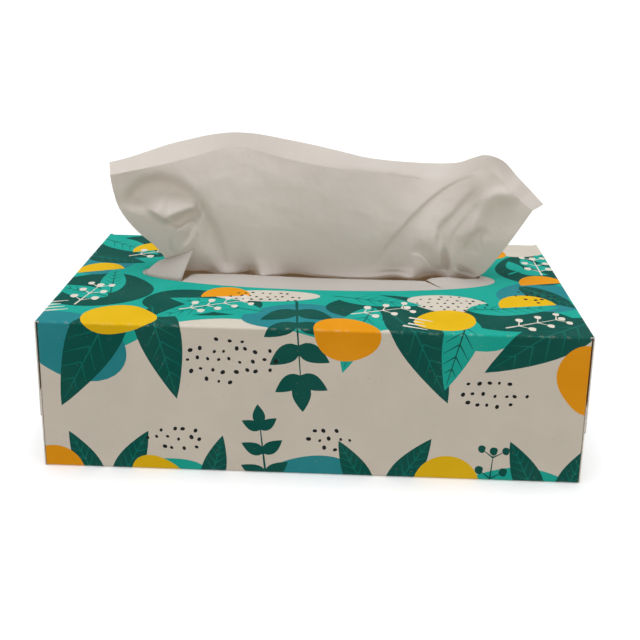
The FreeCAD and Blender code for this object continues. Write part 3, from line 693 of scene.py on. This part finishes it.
def build_carton():
    art = Print()
    draw_front_and_top(art)
    draw_lower_edge(art)
    draw_back_and_bottom(art)
    draw_ends(art)
    names = list(INKS)
    materials = [printed("board_cream", CREAM, 0.05), plain_board("board_inside", INSIDE),
                 plain_board("board_cut_edge", CUT_EDGE)]
    materials += [printed("ink_" + name, ink) for name, ink in INKS.items()]
    colours = [FIRST_INK + names.index(colour) for colour, outline in art.layers] + [BARE_FACE]
    outlines = [outline for colour, outline in art.layers]
    sheet = Sheet()
    edges = STARTS[1:-1]
    folds = [start + 2 * FOLD * (step - 0.5) for start in edges for step in FOLD_STEPS]
    lines = [((-SLEEVE_END, v), (SLEEVE_END, v)) for v in folds]
    flat = cut_up(rectangle(-SLEEVE_END, SLEEVE_END, STARTS[0], STARTS[-1]), [oval()], lines, outlines)
    sheet.add_board(flat, sleeve_point, colours, lambda u, v: max(fold_wear(v - edge) for edge in edges))
    half = LENGTH / 2
    for side in (-1, 1):
        for panel, outer, reach, corner in (
                (TOP, half, TOP_FLAP, FLAP_CORNER), (BOTTOM, half - BOARD, BOTTOM_FLAP, FLAP_CORNER),
                (FRONT, half - 2 * BOARD, DUST_FLAP, 0.0), (BACK, half - 2 * BOARD, DUST_FLAP, 0.0)):
            add_flap(sheet, Flap(panel, side, outer, reach), corner, colours, outlines)
    carton = sheet.build("printed_carton", materials)
    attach(carton, "root")
    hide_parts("carton")


def add_flap(sheet, flap, corner, colours, outlines):
    closing = flap.panel in (BOTTOM, TOP)
    span = DEPTH if closing else HEIGHT
    start = STARTS[BOTTOM] - HEIGHT if flap.panel == BACK else STARTS[flap.panel]
    gap = EDGE_GAP if closing else BOARD + EDGE_GAP
    low, high = start + gap, start + span - gap
    lines = [((u * flap.side, low), (u * flap.side, high)) for u in flap.fold_lines()]
    outline = flap_outline(flap, low, high, corner)
    near = [(colour, ring) for colour, ring in zip(colours, outlines)
            if any(u * flap.side > SLEEVE_END - 1 for u, v in ring)]
    fold_middle = flap.fold_lines()[2]
    flat = cut_up(outline, [], lines, [ring for colour, ring in near])
    shades = [colour for colour, ring in near] + [BARE_FACE]
    sheet.add_board(flat, flap.point, shades, lambda u, v: fold_wear(abs(u) - fold_middle))


# Liner, with the slit that the sheet holds open

LINER_TOP = HEIGHT - BOARD
LINER_PAPER = 0.18
LINER_GAP = 0.02
LINER_LENGTH, LINER_DEPTH, LINER_CORNER = 196.0, 76.0, 4.0
# The slit's front lip from left to right, then its back lip from right to left, as seen from above
FRONT_LIP = [(-60, 2), (-50, 2.4), (-36, 3), (-28, 2.2), (-3, 1.2), (26, 0.8), (44, 1.6), (51, 0.6)]
RIGHT_LIP = [(51.8, 1.6), (61, 4.2), (70, 3.6), (77, 6.5)]
BACK_LIP = [(79, 11), (74, 15), (50, 16.6), (0, 17.2), (-40, 17), (-66, 16), (-78, 10)]
TAB_HINGE = [(-82, 4.5), (-81.5, -0.6), (-77, -4), (-71, -6.2), (-63.6, -8)]
SNIP = [(51.2, 0.4), (58.6, -8.6)]
SNIP_WIDTH = 0.5
# How the sheet pushes the liner up: everywhere within a reach of the slit, and more right of the snip
LIFT, LIFT_RIGHT, SLIT_MIDDLE, LIFT_REACH, SNIP_X = 0.2, 1.8, 3, 7, 55
# Points inside the liner for its lift, as the reach and step across and from front to back
COARSE_POINTS, FINE_POINTS = (-92, 93, 4, -28, 36, 4), (-80, 81, 2, -14, 20, 2)


def snip_outline():
    (x0, y0), (x1, y1) = SNIP
    return [(x0, y0 + 1), (x0 - SNIP_WIDTH, y0), (x1, y1), (x0 + SNIP_WIDTH, y0 + 0.8)]


def liner_lift(x, y):
    """How far the liner is pushed up by the sheet, most beside the slit and right of the snip."""
    a, b = OPENING[2] - 3, OPENING[3] - 2
    inside = 1 - (x / a) ** 2 - ((y - OPENING[1]) / b) ** 2
    if inside <= 0:
        return 0.0
    free = min(1.0, inside * 1.6)
    near_slit = math.exp(-((y - SLIT_MIDDLE) / LIFT_REACH) ** 2)
    right = 1 / (1 + math.exp(-(x - SNIP_X + (y + 2) * 0.6) / 1.2))
    return free * near_slit * (LIFT * (1 + 0.8 * math.sin(x / 9)) + LIFT_RIGHT * right)


def build_liner():
    outline = rounded(LINER_LENGTH / 2, LINER_DEPTH / 2, LINER_CORNER, OPENING[1])
    slit = FRONT_LIP + RIGHT_LIP + BACK_LIP + TAB_HINGE
    inner = [(x, y) for left, right, across, front, back, deep in (COARSE_POINTS, FINE_POINTS)
             for x in range(left, right, across) for y in range(front, back, deep)]
    points, triangles, owners = cut_up(outline, [slit, snip_outline()], [], [], inner)
    raised = [Vector((x, y, LINER_TOP - LINER_GAP + liner_lift(x, y))) for x, y in points]
    add_tab(raised, triangles)
    paper = thin_paper("liner_paper", LINER, LINER_GLOW, LINER_SEE_THROUGH)
    liner = mesh_object("liner_paper_sheet", raised, triangles, [paper])
    solid = liner.modifiers.new("paper", "SOLIDIFY")
    solid.thickness = LINER_PAPER * MM
    solid.offset = -1
    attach(liner, "root")
    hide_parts("slit_liner")


def rounded(wide, deep, radius, middle):
    """A rectangle with round corners."""
    points = []
    for n, (sx, sy) in enumerate(((1, -1), (1, 1), (-1, 1), (-1, -1))):
        for step in range(5):
            angle = math.radians(-90 + 90 * n + 22.5 * step)
            points.append((sx * (wide - radius) + radius * math.cos(angle),
                           middle + sy * (deep - radius) + radius * math.sin(angle)))
    return points


# The lifted tab: turns of its hinge on the opening's oval, its free edge's two ends, and its belly
TAB_TURNS = (184.0, 220.0)
TAB_TIP = ((-77.5, 8.0, 70.5), (-59.4, 5.4, 78.4))
TAB_BELLY = (-1.6, 0.6)
TAB_COLUMNS, TAB_STEPS = 14, 8


def add_tab(points, triangles):
    """Adds the liner's left corner, folded up by the sheet, as a curved flap."""
    first = len(points)
    x, y, a, b = OPENING
    start, end = Vector(TAB_TIP[0]), Vector(TAB_TIP[1])
    for step in range(TAB_STEPS + 1):
        up = step / TAB_STEPS
        for n in range(TAB_COLUMNS + 1):
            share = n / TAB_COLUMNS
            turn = math.radians(TAB_TURNS[0] + (TAB_TURNS[1] - TAB_TURNS[0]) * share)
            hinge = Vector((x + (a - 1) * math.cos(turn), y + (b - 1.6) * math.sin(turn), LINER_TOP))
            belly = Vector((0, *TAB_BELLY)) * math.sin(math.pi * up)
            points.append(hinge.lerp(start.lerp(end, share), up ** 0.9) + belly)
    for a, b, c, d in grid_faces(TAB_STEPS + 1, TAB_COLUMNS + 1, first):
        triangles += [[a, b, c], [a, c, d]]


# Stack of folded tissues

STACK_DEPTH, STACK_HEIGHT, STACK_WIDTH = 104.0, 54.0, 210.0
LEAVES, STACK_STATIONS = 45, 12
# How far the folds stand out at the front and back, in turn, and how far in the gaps between them lie
FOLD_OUT, FOLD_IN, FOLD_GAP = 0.9, 0.5, 0.6


def build_stack():
    """A block of folded leaves whose folds stand out in turn at the front and at the back."""
    chance = random.Random(4)
    pitch = STACK_HEIGHT / LEAVES
    half = STACK_DEPTH / 2
    front, back = [], []
    for n in range(LEAVES):
        low = BOARD + n * pitch
        for side, row in ((-1, front), (1, back)):
            out = half + (FOLD_OUT if (n % 2 == 0) == (side > 0) else FOLD_IN) * chance.uniform(0.7, 1.05)
            row += [(side * y, low + share * pitch) for y, share in (
                (half - FOLD_GAP, 0.05), (out - 0.15, 0.25), (out, 0.5), (out - 0.15, 0.75))]
    section = front + [(side * (half - FOLD_GAP), BOARD + STACK_HEIGHT) for side in (-1, 1)] + back[::-1]
    stations = [STACK_WIDTH * (n / STACK_STATIONS - 0.5) for n in range(STACK_STATIONS + 1)]
    count = len(section)
    points = [Vector((x, y, z)) for x in stations for y, z in section]
    last = STACK_STATIONS * count
    faces = [list(range(count)), [last + n for n in range(count)][::-1]]
    for start in range(0, last, count):
        for n in range(count):
            a, b = start + n, start + (n + 1) % count
            faces.append([a + count, b + count, b, a])
    stack = mesh_object("folded_leaves", points, faces, [layered_tissue("folded_tissue")], smooth=False)
    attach(stack, "root")
    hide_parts("tissue_stack")


# Pulled tissue. Its outlines are those that the camera sees in the upright plane DRAWN_Y

DRAWN_Y = 5.0
SLIT_Z = 66.4
TOP_EDGE = [(-98.5, 119.9), (-91.1, 121.8), (-81.5, 125.1), (-71.6, 128.7), (-60.3, 131.8), (-50, 134.2),
            (-42.1, 135.3), (-34.7, 135.4), (-28.7, 134.9), (-16.2, 132.8), (-4.6, 130.7), (10.2, 127.5),
            (20.4, 125.2), (32.5, 123.8), (47.2, 123.1), (57.8, 123.1), (65, 123.9), (70.5, 126),
            (75.5, 127.4), (80.6, 126.6), (85, 124.4), (91.2, 117.9), (97.7, 111.4), (104.4, 104.5)]
CREASE = [(-98.5, 113.6), (-84.2, 116.9), (-71.8, 119.8), (-60.5, 123), (-46.4, 127.2), (-38.2, 128.6),
          (-28.7, 127.1), (-19, 124.4), (-9.2, 122.3), (13.6, 118.8), (28.8, 117.6), (41.1, 116),
          (52, 114.8), (60, 115.4), (68, 118.2), (76, 120.6), (82, 118.2), (88, 111.6),
          (93.4, 106.4), (99.5, 101.3)]
# How the plume widens to its full width on the way up, at its left and at its right edge
LEFT_SPREAD = [(0, 0), (0.14, 0.15), (0.25, 0.28), (0.41, 0.575), (0.63, 0.85), (0.84, 0.96), (1, 1)]
RIGHT_SPREAD = 0.84
THROAT = (-69, 75.5)
# How far back the sheet stands in the slit, along it
THROAT_Y = [(-69, 11), (-60, 9.4), (-51.8, 9.8), (-47.3, 5.8), (-41.5, 5.4), (-37, 9), (-31, 11.6),
            (-28.6, 5), (-21.6, 4.6), (-12.4, 9.6), (-3, 7), (5.7, 5), (25.9, 4.4), (37, 8),
            (44.6, 5.4), (50.7, 10.6), (57.5, 12.8), (63.1, 8), (68.3, 10.4), (75.5, 8)]
# How far back the crease stands, along it
CREASE_Y = [(-98.5, -7), (-72, 3), (-38, 13), (0, 5), (30, 11), (54, 19), (76, 7), (98.2, 3)]
# How the strip above the crease leans back, as a share of its height seen by the camera
STRIP_BACK = [(-98.5, 1.3), (-60, 0.9), (-38, 0.5), (0, 0.8), (30, 1.3), (54, 1.5), (66, 0.4), (78, 0.15),
              (84, 1), (98.2, 1.2)]
PLEAT_FADE = 0.085
# Where the plume stands in the slit, how far its belly comes forward, and its waves: size, depth and seed
SLIT_Y, BELLY = 9.0, 4.8
WAVES = ((24, 1.1, 3.1), (9, 0.48, 7.7), (3.5, 0.12, 1.3))
# The shares of the height over which the folds, the waves and the camera's sight set in above the slit
FOLDS_FROM, WAVES_FROM, SIGHT_FROM, LEAN = 0.1, 0.12, 0.15, 1.5
# How soft the crease is, where that starts and ends, and the strip's waves: depth, size and seed
SOFT, SOFT_FROM, SOFT_TO, STRIP_WAVES = 0.8, (-15, 25), (78, 86), (0.25, 12, 5.0)
COLUMNS, PLUME_ROWS, STRIP_ROWS = 361, 150, 24


def table(pairs, at):
    """Values between the pairs, with level ends and smooth steps."""
    places = np.array([pair[0] for pair in pairs], float)
    values = np.array([pair[1] for pair in pairs], float)
    at = np.clip(at, places[0], places[-1])
    n = np.clip(np.searchsorted(places, at, side="right") - 1, 0, len(places) - 2)
    share = (at - places[n]) / (places[n + 1] - places[n])
    slopes = np.gradient(values, places)
    width = places[n + 1] - places[n]
    a, b = values[n], values[n + 1]
    ma, mb = slopes[n] * width, slopes[n + 1] * width
    s2, s3 = share ** 2, share ** 3
    return (2 * s3 - 3 * s2 + 1) * a + (s3 - 2 * s2 + share) * ma + (3 * s2 - 2 * s3) * b + (s3 - s2) * mb


def smooth(low, high, value):
    """Nought below low, one above high and a smooth rise between."""
    share = np.clip((value - low) / (high - low), 0, 1)
    return share * share * (3 - 2 * share)


def path_distance(points, x, z):
    """The distance to a line through points, below nought on its left side, and the share along it."""
    best = np.full(x.shape, 1e9)
    signed, share = np.zeros(x.shape), np.zeros(x.shape)
    lengths = [math.dist(a, b) for a, b in zip(points, points[1:])]
    done = 0.0
    for (a, b), length in zip(zip(points, points[1:]), lengths):
        dx, dz = (b[0] - a[0]) / length, (b[1] - a[1]) / length
        along = np.clip((x - a[0]) * dx + (z - a[1]) * dz, 0, length)
        off_x, off_z = x - a[0] - along * dx, z - a[1] - along * dz
        away = np.hypot(off_x, off_z)
        side = np.sign(off_x * dz - off_z * dx)
        nearer = away < best
        best = np.where(nearer, away, best)
        signed = np.where(nearer, away * side, signed)
        share = np.where(nearer, (done + along) / sum(lengths), share)
        done += length
    return signed, share


def rounded_line(points):
    """The line through the points, with three points on a smooth curve for each step."""
    at = np.linspace(0, len(points) - 1, 3 * len(points) - 2)
    return list(zip(*(table(list(enumerate(line)), at) for line in zip(*points))))


def ridge(points, depth, left, right, x, z, ends):
    """A fold along a line: its depth, its reach to the line's left and right, and its fading ends."""
    signed, share = path_distance(points, x, z)
    reach = np.where(signed < 0, left, right)
    taper = smooth(0, ends[0], share + 1e-6) * smooth(0, ends[1], 1 - share + 1e-6)
    return depth * np.exp(-(signed / reach) ** 2) * taper


def hollow(centre, half_width, half_height, degrees, depth, x, z):
    """A round dent that goes back by a depth."""
    c, s = math.cos(math.radians(degrees)), math.sin(math.radians(degrees))
    right, up = x - centre[0], z - centre[1]
    along, across = right * c + up * s, up * c - right * s
    return depth * np.exp(-((along / half_width) ** 2 + (across / half_height) ** 2) ** 1.5)


# Folds of the plume: the line, its depth, its reach on the left and right, and the shares of its fading ends
FOLDS = [
    ([(-91, 96), (-88, 103.5), (-82, 109), (-75, 110.8), (-68, 109), (-61.5, 104.5), (-56.5, 98), (-52, 89),
      (-48, 77), (-45.5, 68)], 6.2, 3, 8.5, (0.12, 0.35)),
    ([(-82, 101), (-78, 96.6), (-73, 93.2), (-69, 93.8), (-65.7, 96), (-60, 98.4), (-55, 99)], -5, 7.5, 1.7,
     (0.25, 0.15)),
    ([(-71, 88), (-70, 92), (-65.7, 94.6), (-60, 96.6), (-55, 97.2)], 2.8, 1.4, 9, (0.2, 0.2)),
    ([(-54.5, 99), (-56.5, 92), (-58.6, 86), (-62, 80.5), (-68, 73.5)], -2, 4, 1.6, (0.15, 0.3)),
    ([(-55, 92.6), (-61.4, 91), (-67.4, 86.3), (-69.7, 80), (-66.7, 72.2)], -2.2, 6, 1.1, (0.25, 0.3)),
    ([(-51, 94), (-49, 86), (-46, 76), (-44, 66)], 1.4, 2.4, 1.4, (0.4, 0.1)),
    ([(-28.9, 92), (-28.8, 80), (-29, 64)], -0.45, 6, 0.6, (0.6, 0.1)),
    ([(24, 68), (30, 77), (36, 86), (48.5, 101), (58, 110), (67, 115.2), (76, 118)], 1.6, 1.1, 12,
     (0.3, 0.3)),
    ([(57.6, 76), (57.9, 90.8), (64.4, 99), (69.3, 106), (76, 113)], 2.8, 1.9, 6, (0.25, 0.3)),
    ([(62.6, 76), (64, 88), (69.5, 96.5), (74, 102.5), (80, 108)], 1.7, 1.6, 4, (0.3, 0.3)),
    ([(68, 80), (70, 88), (73, 97), (77.6, 104.6), (82, 108.4), (88, 108.2), (94, 104.6)], -2.7, 3, 4.4,
     (0.25, 0.2)),
    ([(69, 80), (71, 85), (73.8, 89), (77.2, 90.2), (81, 88.5)], 2.4, 1.3, 4.6, (0.2, 0.35)),
    ([(43, 79), (47.5, 79.4), (51, 77.4), (54.5, 73), (58, 67)], 2.6, 4.5, 0.8, (0.3, 0.1)),
]
HOLLOWS = [
    ((-73, 104), 15, 6.5, -14, 1.8),
    ((-59.5, 83), 3.6, 6.5, 0, 1.5),
    ((60.4, 75), 1.6, 6, 10, 4.6),
    ((70.4, 70), 4.4, 1.8, -38, 4.6),
    ((34.7, 67), 9.2, 2, 0, 2.6),
    ((86, 98), 9, 8, -30, 1.2),
]


def fold_field(x, z):
    """How far back all the folds and hollows move the sheet."""
    total = np.zeros(x.shape)
    for points, depth, left, right, ends in FOLDS:
        total += ridge(rounded_line(points), depth, left, right, x, z, ends)
    for sizes in HOLLOWS:
        total += hollow(*sizes, x, z)
    return total


def waves(x, z, size, seed):
    """Smooth random heights between -1 and 1 with humps about a size across."""
    out = np.empty(x.shape)
    for place, value in np.ndenumerate(x):
        out[place] = noise.noise((value / size, z[place] / size, seed))
    return out


def seen_from_camera(x, z, y):
    """Moves points of the plane DRAWN_Y to a depth y along the camera's line of sight."""
    share = (y - CAMERA_PLACE.y) / (DRAWN_Y - CAMERA_PLACE.y)
    return CAMERA_PLACE.x + (x - CAMERA_PLACE.x) * share, CAMERA_PLACE.z + (z - CAMERA_PLACE.z) * share


def plume_grid():
    """The standing part: where each point is seen, its share up, and its places at slit and crease."""
    across = np.linspace(-1, 1, COLUMNS)[None, :]
    up = np.linspace(0, 1, PLUME_ROWS)[:, None]
    crease_x = CREASE[0][0] + (CREASE[-1][0] - CREASE[0][0]) * (across + 1) / 2
    throat_x = THROAT[0] + (THROAT[1] - THROAT[0]) * (across + 1) / 2
    left = table(LEFT_SPREAD, up)
    right = up ** RIGHT_SPREAD
    spread = left + (right - left) * (across + 1) / 2
    x = throat_x + (crease_x - throat_x) * spread
    crease_z = table(CREASE, crease_x)
    z = SLIT_Z + (crease_z - SLIT_Z) * up
    return x, z, *(part + 0 * x for part in (up, throat_x, crease_x))


def plume_depth(x, z, up, throat_x, crease_x):
    """How far back each point of the plume stands."""
    pleats = (table(THROAT_Y, throat_x) - SLIT_Y) * np.exp(-up / PLEAT_FADE)
    lean = (table(CREASE_Y, crease_x) - SLIT_Y) * up ** LEAN
    belly = -BELLY * np.sin(up * math.pi)
    folds = fold_field(x, z) * smooth(0, FOLDS_FROM, up)
    uneven = sum(depth * waves(x, z, size, seed) for size, depth, seed in WAVES)
    return SLIT_Y + pleats + lean + belly + folds + uneven * smooth(0, WAVES_FROM, up)


def strip_rows(crease_points, crease_x):
    """The strip above the crease. It leans back, and its top edge is the outline that the camera sees."""
    top_x = TOP_EDGE[0][0] + (TOP_EDGE[-1][0] - TOP_EDGE[0][0]) * np.linspace(0, 1, COLUMNS)
    top_z = table(TOP_EDGE, top_x)
    crease_z = table(CREASE, crease_x)
    back = table(STRIP_BACK, crease_x) * np.hypot(top_x - crease_x, top_z - crease_z)
    y = crease_points[:, 1] + back
    seen_x, seen_z = seen_from_camera(top_x, top_z, y)
    top = np.stack([seen_x, y, seen_z], 1)
    soft = SOFT * smooth(*SOFT_FROM, crease_x) * (1 - smooth(*SOFT_TO, crease_x))
    depth, size, seed = STRIP_WAVES
    level = np.full(COLUMNS, 40.0)
    rows = []
    for n in range(1, STRIP_ROWS + 1):
        share = n / STRIP_ROWS
        row = crease_points + (top - crease_points) * share
        row[:, 1] -= soft * back * (share - share * share)
        row[:, 1] += depth * math.sin(share * math.pi) * waves(crease_x + 3 * share, level, size, seed)
        rows.append(row)
    return rows


# The leaf that is still folded on the stack, in the part's sizes
LEAF_LOW, LEAF_FOLD, LEAF_WIDTH, LEAF_BACK, LEAF_FRONT = 55.1, 2.2, 210.0, 47.6, -32.4
FLAT_ROWS, TURN_ROWS, RISE_ROWS, RISE = 12, 8, 15, 3.8


def leaf_rows(throat_points):
    """The lower leaf, its fold at the back, and the upper leaf that narrows towards the slit."""
    across = np.linspace(-1, 1, COLUMNS) * LEAF_WIDTH / 2
    places = [(LEAF_FRONT + (LEAF_BACK - LEAF_FRONT) * n / FLAT_ROWS, LEAF_LOW) for n in range(FLAT_ROWS)]
    for n in range(TURN_ROWS + 1):
        turn = math.pi * n / TURN_ROWS
        places.append((LEAF_BACK + LEAF_FOLD * math.sin(turn), LEAF_LOW + LEAF_FOLD * (1 - math.cos(turn))))
    rows = [np.stack([across, np.full(COLUMNS, y), np.full(COLUMNS, z)], 1) for y, z in places]
    high = LEAF_LOW + 2 * LEAF_FOLD
    last = rows[-1]
    for n in range(1, RISE_ROWS):
        share = n / RISE_ROWS
        row = last + (throat_points - last) * share
        row[:, 0] = last[:, 0] + (throat_points[:, 0] - last[:, 0]) * smooth(0, 1, share)
        row[:, 2] = high + (SLIT_Z - high) * share ** RISE
        rows.append(row)
    return rows


def build_pulled_sheet():
    x, z, up, throat_x, crease_x = plume_grid()
    y = plume_depth(x, z, up, throat_x, crease_x)
    sight = smooth(0, SIGHT_FROM, up)
    seen_x, seen_z = seen_from_camera(x, z, y)
    plume = np.stack([x + (seen_x - x) * sight, y, z + (seen_z - z) * sight], 2)
    rows = leaf_rows(plume[0]) + list(plume) + strip_rows(plume[-1], crease_x[0])
    tissue = thin_paper("tissue", TISSUE, TISSUE_GLOW, TISSUE_SEE_THROUGH)
    sheet = mesh_object("pulled_sheet", np.concatenate(rows), grid_faces(len(rows), COLUMNS), [tissue])
    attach(sheet, "root")
    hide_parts("pulled_tissue")


# Floor and light

FLOOR_SIZE, DOME_SIZE = 8.0, 9.0
WORLD_COLOUR, WORLD_STRENGTH = (1, 0.975, 0.945, 1), 0.49


def white(name, roughness, specular, grey, glow):
    """A material with a grey of its own and a white glow."""
    nodes = Nodes(name, roughness, specular)
    put(nodes.shader, "Base Color", (grey, grey, grey, 1))
    put(nodes.shader, "Emission Color", (1, 1, 1, 1))
    put(nodes.shader, "Emission Strength", glow)
    return nodes.material


def add_floor():
    mesh = bpy.data.meshes.new("floor")
    corners = rectangle(-FLOOR_SIZE, FLOOR_SIZE, -FLOOR_SIZE, FLOOR_SIZE)
    mesh.from_pydata([(x, y, 0) for x, y in corners], [], [(0, 1, 2, 3)])
    mesh.materials.append(white("floor_white", 0.9, 0.1, 0.9, 0.14))
    floor = link("floor", mesh)
    floor.visible_diffuse = False


def add_backdrop():
    """A white dome that only the camera sees."""
    mesh = bpy.data.meshes.new("backdrop")
    shell = bmesh.new()
    bmesh.ops.create_uvsphere(shell, u_segments=48, v_segments=24, radius=DOME_SIZE)
    shell.to_mesh(mesh)
    shell.free()
    mesh.materials.append(white("backdrop_white", 1.0, 0.0, 0.0, 1.0))
    dome = link("backdrop", mesh)
    for rays in ("diffuse", "glossy", "transmission", "shadow"):
        setattr(dome, "visible_" + rays, False)


def add_sun(name, tilt, heading, width, strength, colour):
    """A soft light from far away: degrees off straight down, heading round the box, and width in degrees."""
    data = bpy.data.lights.new(name, "SUN")
    data.angle = math.radians(width)
    data.energy = strength
    data.color = colour
    link(name, data).rotation_euler = (math.radians(tilt), 0, math.radians(heading))


def add_light():
    world = bpy.data.worlds.new("world")
    world.use_nodes = True
    background = world.node_tree.nodes["Background"]
    put(background, "Color", WORLD_COLOUR)
    put(background, "Strength", WORLD_STRENGTH)
    bpy.context.scene.world = world
    add_sun("key", 3, -12, 40, 1.80, (0.94, 0.98, 1.03))
    add_sun("fill", 72, -2, 80, 0.62, (1.0, 0.985, 0.97))
    bpy.context.scene.view_settings.view_transform = "Standard"


add_camera()
add_floor()
add_backdrop()
add_light()
build_carton()
build_liner()
build_stack()
build_pulled_sheet()
